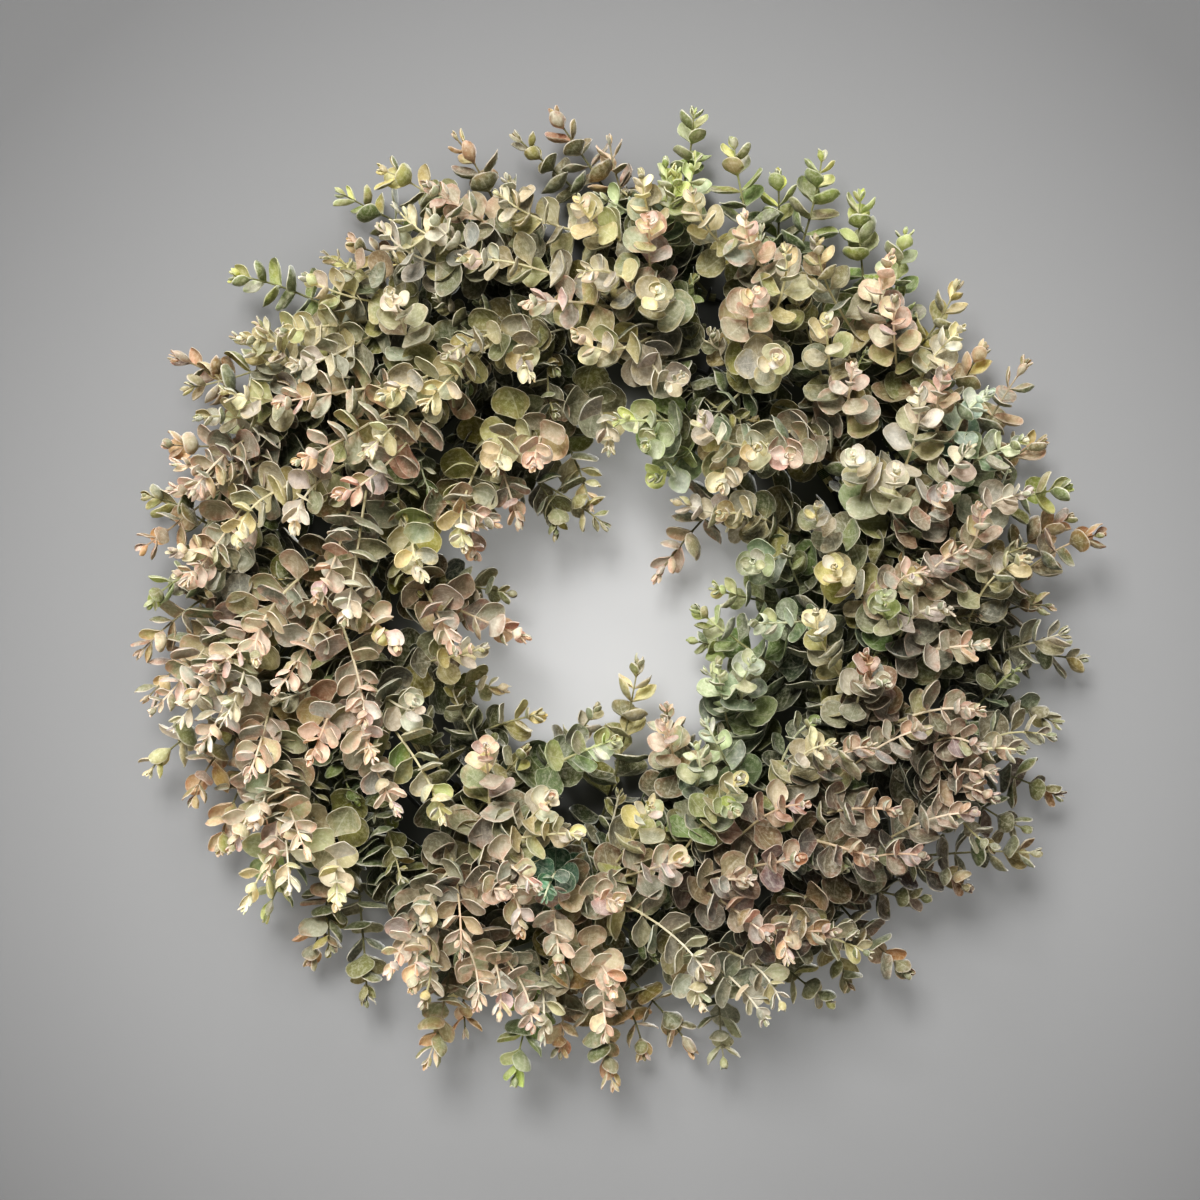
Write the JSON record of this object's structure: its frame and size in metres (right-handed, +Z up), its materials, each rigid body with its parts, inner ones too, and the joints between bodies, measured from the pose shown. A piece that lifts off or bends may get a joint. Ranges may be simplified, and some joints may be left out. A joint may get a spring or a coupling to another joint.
{
  "type": "eucalyptus wreath",
  "caption": "Round hanging wreath of leafy eucalyptus stems gathered in small bunches and clamped round a welded wire ring frame.",
  "frame": {"origin": "where a wall hook bears, under the top of the outer rail at its middle", "axes": "+Z up as it hangs, +X to the viewer's right, +Y to the wall, so the foliage faces -Y"},
  "size_m": [0.6053, 0.1314, 0.6148],
  "materials": {
    "wire": "satin black",
    "outer_leaf": "matt, dusty olive to pink leaves on tan stems",
    "crown_leaf": "matt, dusty grey-green to yellow and pink leaves on tan stems",
    "inner_leaf": "matt, dusty dark olive to mint leaves on tan stems"
  },
  "bodies": {
    "root": {"wire_frame": "wire", "outer_bunch_01": "outer_leaf", "outer_bunch_02": "outer_leaf", "outer_bunch_03": "outer_leaf", "outer_bunch_04": "outer_leaf", "outer_bunch_05": "outer_leaf", "outer_bunch_06": "outer_leaf", "outer_bunch_07": "outer_leaf", "outer_bunch_08": "outer_leaf", "outer_bunch_09": "outer_leaf", "outer_bunch_10": "outer_leaf", "outer_bunch_11": "outer_leaf", "outer_bunch_12": "outer_leaf", "outer_bunch_13": "outer_leaf", "outer_bunch_14": "outer_leaf", "outer_bunch_15": "outer_leaf", "outer_bunch_16": "outer_leaf", "crown_bunch_01": "crown_leaf", "crown_bunch_02": "crown_leaf", "crown_bunch_03": "crown_leaf", "crown_bunch_04": "crown_leaf", "crown_bunch_05": "crown_leaf", "crown_bunch_06": "crown_leaf", "crown_bunch_07": "crown_leaf", "crown_bunch_08": "crown_leaf", "crown_bunch_09": "crown_leaf", "crown_bunch_10": "crown_leaf", "crown_bunch_12": "crown_leaf", "crown_bunch_13": "crown_leaf", "crown_bunch_14": "crown_leaf", "crown_bunch_15": "crown_leaf", "crown_bunch_16": "crown_leaf", "inner_bunch_01": "inner_leaf", "inner_bunch_02": "inner_leaf", "inner_bunch_03": "inner_leaf", "inner_bunch_04": "inner_leaf", "inner_bunch_06": "inner_leaf", "inner_bunch_07": "inner_leaf", "inner_bunch_08": "inner_leaf", "inner_bunch_09": "inner_leaf", "inner_bunch_10": "inner_leaf", "inner_bunch_11": "inner_leaf", "inner_bunch_12": "inner_leaf", "inner_bunch_13": "inner_leaf", "inner_bunch_14": "inner_leaf", "inner_bunch_15": "inner_leaf", "inner_bunch_16": "inner_leaf"}
  },
  "joints": []
}
